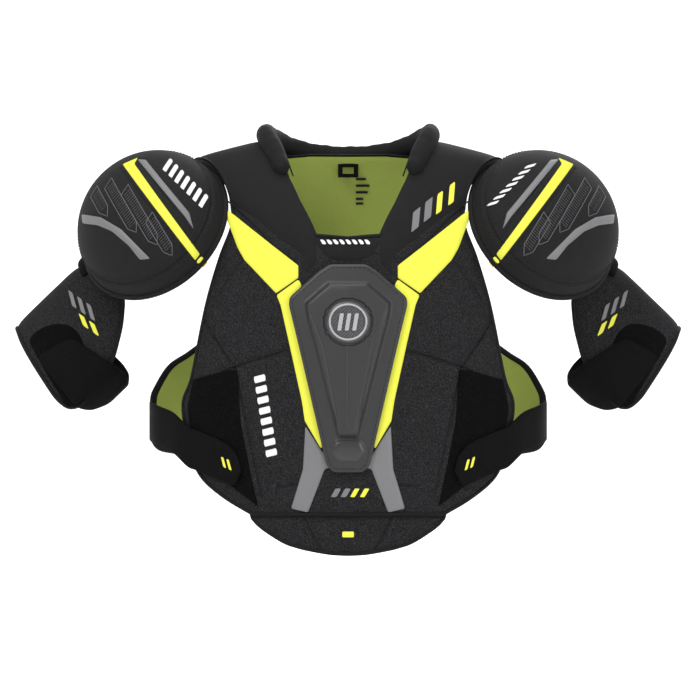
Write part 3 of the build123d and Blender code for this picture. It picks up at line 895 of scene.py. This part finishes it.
def cap_relief(world, phi):
    """Stitched flange near the rim and chevron panels pressed into the cover."""
    p = world[:, [0, 2]]
    out = np.zeros(len(p))
    flange = np.abs(phi - math.radians(74))
    out -= 1.6 * (1 - smooth(flange / 0.035))
    front = world[:, 1] < CAP_C[1] + 40
    for line in CAP_LINES:
        out -= np.where(front & (phi < math.radians(72)), 1.3 * (1 - smooth(distance(p, line) / 1.8)), 0)
    return out


CAP_LINES = [np.array([(240, -2), (163, -103)], float), np.array([(219, 6), (150, -88)], float)]
cap = cap_dome("cap_soft_left", (0.0, -3.0), 0.0, COVER, cap_relief, rings=110, around=240)
put(cap, "cap_left", ["cap_cover_left"])
put(mirror_copy(cap, "cap_soft_right"), "cap_right", ["cap_cover_right"])
for layer, depths, finish, slot in (
    ("shell", (-3.2, -5.6), SHELL, "shell_insert"), ("foam", (-5.8, -13.0), FOAM, "foam")
):
    piece = cap_dome(f"cap_{layer}_soft_left", depths, 0.0, finish, rings=40, around=120)
    put(piece, "cap_left", [f"cap_{layer}_left"])
    put(mirror_copy(piece, f"cap_{layer}_soft_right"), "cap_right", [f"cap_{layer}_right"])
t = np.linspace(0, 2 * math.pi, 140, endpoint=False)
ring = np.stack(
    [(CAP_HALF[0] + 0.5) * np.cos(t), (CAP_HALF[1] + 0.5) * np.sin(t), 0 * t - 2.0], 1
) @ CAP_FRAME.T + CAP_C
pipe = tube("cap_piping_left", ring, 3.2, BIND, sides=14, closed=True)
put(pipe, "cap_left", ["cap_rim_left"])
put(mirror_copy(pipe, "cap_piping_right"), "cap_right", ["cap_rim_right"])
for k, deg in enumerate((77, 71)):
    f = math.radians(deg)
    ring = np.stack([(CAP_HALF[0] + 0.4) * math.sin(f) * np.cos(t),
                     (CAP_HALF[1] + 0.4) * math.sin(f) * np.sin(t),
                     (CAP_HALF[2] + 0.4) * math.cos(f) + 0 * t], 1) @ CAP_FRAME.T + CAP_C
    run = stitches(f"cap_stitches_{k}_left", [np.vstack([ring, ring[:1]])], THREAD)
    put(run, "cap_left")
    put(mirror_copy(run, f"cap_stitches_{k}_right"), "cap_right")

neon_stripe = [(239, 3), (222.5, 10), (226, 3), (154.5, -94), (159.5, -100.5)]
stop = [(158.5, -102), (153.5, -96), (146.5, -101.5), (151.5, -108)]
upper_grey = [(223, 8), (214, 7), (165.5, -51), (161, -68), (170, -55)]
lower_grey = [
    (283, -50), (260, -54.5), (237, -68), (206, -99), (217, -100), (229, -85), (247, -70), (263, -63),
    (281, -60)
]
for label, shape, mat, slot, node in (
    ("neon_stripe", neon_stripe, NEON, "neon_trim", "cap_neon_stripe"),
    ("neon_stop", stop, NEON, "neon_trim", None),
    ("upper_grey", upper_grey, GREY, "grey_trim", "cap_grey_stripes"),
    ("lower_grey", lower_grey, GREY, "grey_trim", None),
):
    piece = panel(
        "cap_" + label + "_left", rounded(shape, 0.8, 4), cap_front, pillow(0.3, 1.2, 1.2), -2.0, mat,
        2.2, rings=(0.5, 1.3)
    )
    put(piece, "cap_left", [node + "_left"] if node else ())
    put(mirror_copy(piece, "cap_" + label + "_right"), "cap_right", [node + "_right"] if node else ())
for label, k in (("left", 1), ("right", -1)):
    def cap_side(p, out, k=k):
        return cap_front(p * [k, 1], out) * [k, 1, 1]
    lead = (199, 3) if k == 1 else (-153, -46)
    along = (-47, -47) if k == 1 else (-45, 45)
    bars(
        "cap_mark_" + label, cap_side, lead, along, (-11 if k == 1 else 7, -3 if k == 1 else 13), 7,
        0.3, "cap_" + label, WHITE, 0.55
    )
    chevrons, hatches = [], []
    for i, (x, z, size) in enumerate(((266, -20, 36), (250, -12, 66), (231, -20, 72), (204, -50, 50))):
        d, n = np.array([-0.52, -0.854]), np.array([0.854, -0.52])
        a = np.array([x, z], float)
        outline = np.array(
            [
                a, a + n * 12 + d * 6, a + n * 12 + d * (size - 8), a + n * 6 + d * size, a + d
                * (size - 10), a
            ]
        )
        chevrons.append(cap_side(resample(outline, 2.0) * [k, 1], 0.15))
        for w in np.arange(6, size - 10, 2.6):
            hatches.append(
                cap_side(np.array([a + d * w + n * 0.8, a + d * (w + 2.6) + n * 11.0]) * [k, 1], 0.1)
            )
    for j, line in enumerate(chevrons):
        put(tube(f"cap_chevron_{j}_{label}", line, 0.32, LINE, sides=6), "cap_" + label)
    put(
        stitches(f"cap_hatch_{label}", hatches, LINE, length=5.2, gap=0.6, size=0.2), "cap_" + label,
    )

# ------------------------------------------------------------------ biceps guards
guard = [
    (180, 279), (140, 270), (98, 266), (80, 290), (62, 323), (50, 382), (58, 395), (74, 397),
    (159, 378), (201, 376), (270, 392), (264, 321), (243, 277)
]
GUARD = rounded([(1.02 * a, b) for a, b in guard], 9, 6)
pad = panel("biceps_soft_left", GUARD, sleeve_scaled, pillow(-4.0, 4.5, 5.0), -6.8, HEATHER, 2.8)
put(pad, "biceps_left", ["biceps_pad_left", "biceps_binding_left"])
put(
    mirror_copy(pad, "biceps_soft_right"), "biceps_right",
    ["biceps_pad_right", "biceps_binding_right"]
)
edge = resample(inward(resample(GUARD, 2.5, True), 1.6), 3.0, True)
pipe = tube("biceps_piping_left", sleeve_scaled(edge, -2.6), 2.4, BIND, closed=True)
put(pipe, "biceps_left")
put(mirror_copy(pipe, "biceps_piping_right"), "biceps_right")
loop = rounded(
    [
        on_sleeve(x, z) for x,
        z in (
            (343, -182), (328, -170), (312, -166), (298, -167), (287, -177), (272, -214), (282, -250),
            (300, -257)
        )
    ],
    8, 5
)
piece = panel(
    "biceps_loop_soft_left", loop, sleeve_scaled, pillow(0.6, 1.4, 2.0), -1.5, PILE, 2.5,
    rings=(0.6, 1.6)
)
put(piece, "biceps_left", ["biceps_loop_patch_left"])
put(mirror_copy(piece, "biceps_loop_soft_right"), "biceps_right", ["biceps_loop_patch_right"])

tab = rounded([on_sleeve(x, z) for x, z in ((292, -97), (281, -90), (272, -106), (284, -117))], 3)
piece = panel("guard_tab_left", tab, sleeve_scaled, pillow(3.0, 1.4, 2.0), 0.4, WEB, 2.2, rings=(0.5, 1.3))
put(piece, "biceps_left")
put(mirror_copy(piece, "guard_tab_right"), "biceps_right")

# ------------------------------------------------------------------ arm straps
def fine(points):
    return rounded([(1.02 * a, b) for a, b in points], 8, 6)


STRAP = [
    (104, 338), (60, 326), (34, 325), (12, 330), (-8, 331), (-34, 324), (-60, 322), (-100, 326),
    (-100, 366), (-40, 362), (-2, 360), (14, 368), (30, 379), (55, 387), (113, 380)
]
def strap_round_arm(p, out):
    """The sleeve's form drawn in at its inner edge, where the strap runs free."""
    return sleeve_scaled(p, out - 14.0 * smooth((np.cos(np.radians(p[:, 0] / 1.02)) - 0.35) / 0.65))


whole = panel(
    "arm_strap_left", fine(STRAP), strap_round_arm, pillow(3.2, 1.2, 1.5), 1.9, WEB, 2.6,
    rings=(0.5, 1.3)
)
put(mirror_copy(whole, "arm_strap_right_source"), "biceps_right")
for label, k, source in (("left", 1, whole), ("right", -1, bpy.data.objects["arm_strap_right_source"])):
    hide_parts("biceps_strap_front_" + label, "biceps_strap_rear_" + label)
    source.parent = None
    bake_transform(source)
    source.name = "arm_strap_soft_" + label

# ------------------------------------------------------------------ side straps
def ribbon_place(path):
    """Maps (length along, height) to a strap that follows a path in plan, each point with its height."""
    gaps = np.linalg.norm(np.diff(path[:, :2], axis=0), axis=1)
    length = np.concatenate([[0], np.cumsum(gaps)])

    def place(p, out):
        q = np.stack([np.interp(p[:, 0], length, path[:, k]) for k in range(3)], 1)
        r = np.stack(
            [
                np.interp(p[:, 0] + 0.5, length, path[:, k]) - np.interp(p[:, 0] - 0.5, length, path[:, k])
                for k in range(2)
            ],
            1
        )
        r /= np.maximum(np.linalg.norm(r, axis=1), 1e-9)[:, None]
        n = np.stack([r[:, 1], -r[:, 0]], 1)
        return np.stack([q[:, 0] + n[:, 0] * out, q[:, 1] + n[:, 1] * out, q[:, 2] + p[:, 1]], 1)

    return place, length[-1]


def on_chest(x):
    z = -316.0 + (x - 112) * 0.46
    return FRONT_FORM(np.array([[x, z]], float), 17.6)[0]


front_path = [on_chest(x) for x in (106, 114, 122, 131, 140, 149, 157)] + [
    np.array(v, float)
    for v in ((184, -68, -281), (202, -38, -274), (210.5, -5, -270.5), (212.5, 28.5, -270))]
path = resample(spline(front_path, per=10), 2.0)
place, length = ribbon_place(path)
strap_shape = rounded(
    [(4, 12), (0, -1), (8, -20), (22, -21), (length, -21), (length, 21), (24, 21), (12, 19)], 1.6, 5
)


def strap_top(p, d):
    seam = 0.5 * (1 - smooth(np.abs(p[:, 0] - 27) / 1.4))
    double = 1.1 * (1 - smooth((p[:, 0] - 26) / 1.5))
    return 1.2 + 0.5 * smooth(d / 1.5) + double - seam + 0.25 * np.sin(p[:, 0] * 0.11)


strap = panel("side_strap_left_soft", strap_shape, place, strap_top, -0.6, WEB, 2.6, rings=(0.5, 1.3))
for label, k, piece in (("left", 1, strap), ("right", -1, mirror_copy(strap, "side_strap_right_soft"))):
    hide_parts("side_strap_" + label, "side_strap_tab_" + label)
    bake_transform(piece)
for label, k in (("left", 1), ("right", -1)):
    def strap_side(p, out, k=k):
        return place(p, out) * [k, 1, 1]
    for j, (x, z) in enumerate(((10, -5), (16, -5))):
        quad = [(x, z), (x + 3, z), (x + 6, z + 10), (x + 3, z + 10)]
        piece = panel(
            f"strap_mark_{j}_{label}", rounded(quad, 0.4, 3), strap_side, 3.1, 1.0, NEON, 2.0, rings=()
        )
        put(piece, "side_strap_" + label)

# ------------------------------------------------------------------ printed marks: plain slanted bars
bars(
    "chest_mark", FRONT_FORM, (-95, -222), (13, -88), (11, 3), 8, 13.7, "chest_unit", WHITE,
    0.62
)
bars("neck_mark", FRONT_FORM, (-25, -84), (50, 0), (-3, 5), 8, 15.8, "chest_unit", WHITE, 0.62)
bars("foot_mark", FRONT_FORM, (-18, -347), (20, 0), (5, 9), 2, 13.7, "chest_unit", GREY, 0.6)
bars(
    "foot_mark_neon", FRONT_FORM, (2, -347), (20, 0), (5, 9), 2, 13.7, "chest_unit", NEON,
    0.5
)


def on_pad(p, out):
    return arch(np.array([arch_at(x, z) for x, z in p]), out)


bars("pad_mark", on_pad, (66, -76), (26, 20), (2, 20), 2, 15.4, "chest_unit", GREY, 0.6)
bars("pad_mark_neon", on_pad, (92, -58), (26, 18), (2, 20), 2, 15.4, "chest_unit", NEON, 0.45)


def guard_side(k):
    def place_on(p, out):
        q = np.array([on_sleeve(x * k, z) for x, z in p])
        return sleeve_scaled(q, out) * [k, 1, 1]

    return place_on


for label, k in (("left", 1), ("right", -1)):
    bars(
        "guard_mark_" + label, guard_side(k), (k * 300, -130) if k == 1 else (-300, -130),
        (k * -30, -20), (k * -5, -17), 3, 1.0, "biceps_" + label, GREY, 0.5
    )
    bars(
        "guard_mark_neon_" + label, guard_side(k), (k * 288, -155), (k * -22, -15), (k * -5, -13), 2,
        1.0, "biceps_" + label, NEON, 0.55
    )
for j, (z, w) in enumerate(((-7, 12), (-14, 16), (-21, 14), (-28, 9), (-33, 9))):
    quad = [(8, z), (8 + w, z), (8 + w, z - 2.6), (8, z - 2.6)]
    put(
        panel(f"liner_print_{j}", rounded(quad, 0.4, 3), BACK_FORM, 0.0, -2.4, THREAD, 3.0, rings=()),
        "back_unit"
    )

# ------------------------------------------------------------------ floor, backdrop and light
def studio():
    """A pale floor that turns up into a low wall all round, wider than the camera's circle."""
    floor, radius, turn, wall = -520.0, 5400.0, 1100.0, 2400.0
    profile = [(radius * k / 6, floor) for k in range(1, 7)]
    profile += [
        (radius + turn * math.sin(a), floor + turn * (1 - math.cos(a)))
        for a in np.linspace(0.1, math.pi / 2, 14)
    ]
    profile.append((radius + turn, floor + turn + wall))
    around = 96
    verts = [(0.0, 0.0, floor)]
    for r, z in profile:
        verts += [
            (r * math.cos(2 * math.pi * k / around), r * math.sin(2 * math.pi * k / around), z)
            for k in range(around)
        ]
    faces = [(0, 1 + k, 1 + (k + 1) % around) for k in range(around)]
    for i in range(len(profile) - 1):
        for k in range(around):
            a, b = 1 + i * around + k, 1 + i * around + (k + 1) % around
            faces.append((a, a + around, b + around, b))
    finish = material("studio", (0.80, 0.80, 0.80), 0.9, specular=0.1)
    shader = finish.node_tree.nodes["Principled BSDF"]
    shader.inputs["Emission Color"].default_value = (1, 1, 1, 1)
    shader.inputs["Emission Strength"].default_value = 0.42
    return add_mesh("studio", verts, faces, finish, 80)


studio()


def area_light(name, location, target, size, power):
    data = bpy.data.lights.new(name, "AREA")
    data.shape = "RECTANGLE"
    data.size, data.size_y = size
    data.energy = power
    obj = bpy.data.objects.new(name, data)
    obj.location = location
    way = Vector(target) - Vector(location)
    obj.rotation_euler = way.to_track_quat("-Z", "Y").to_euler()
    bpy.context.scene.collection.objects.link(obj)


area_light("key", (-1.4, -2.2, 1.9), (0, 0, -0.2), (1.2, 1.2), 78)
area_light("fill", (1.9, -2.0, 0.6), (0, 0, -0.2), (1.2, 1.8), 34)
area_light("top", (0, -0.2, 2.2), (0, 0, -0.2), (2.4, 1.2), 40)
area_light("rear", (0.9, 2.6, 1.7), (0, 0, -0.2), (1.6, 1.2), 40)
world = bpy.data.worlds.new("world")
world.use_nodes = True
world.node_tree.nodes["Background"].inputs["Color"].default_value = (1, 1, 1, 1)
world.node_tree.nodes["Background"].inputs["Strength"].default_value = 0.8
bpy.context.scene.world = world
bpy.context.scene.view_settings.view_transform = "Standard"
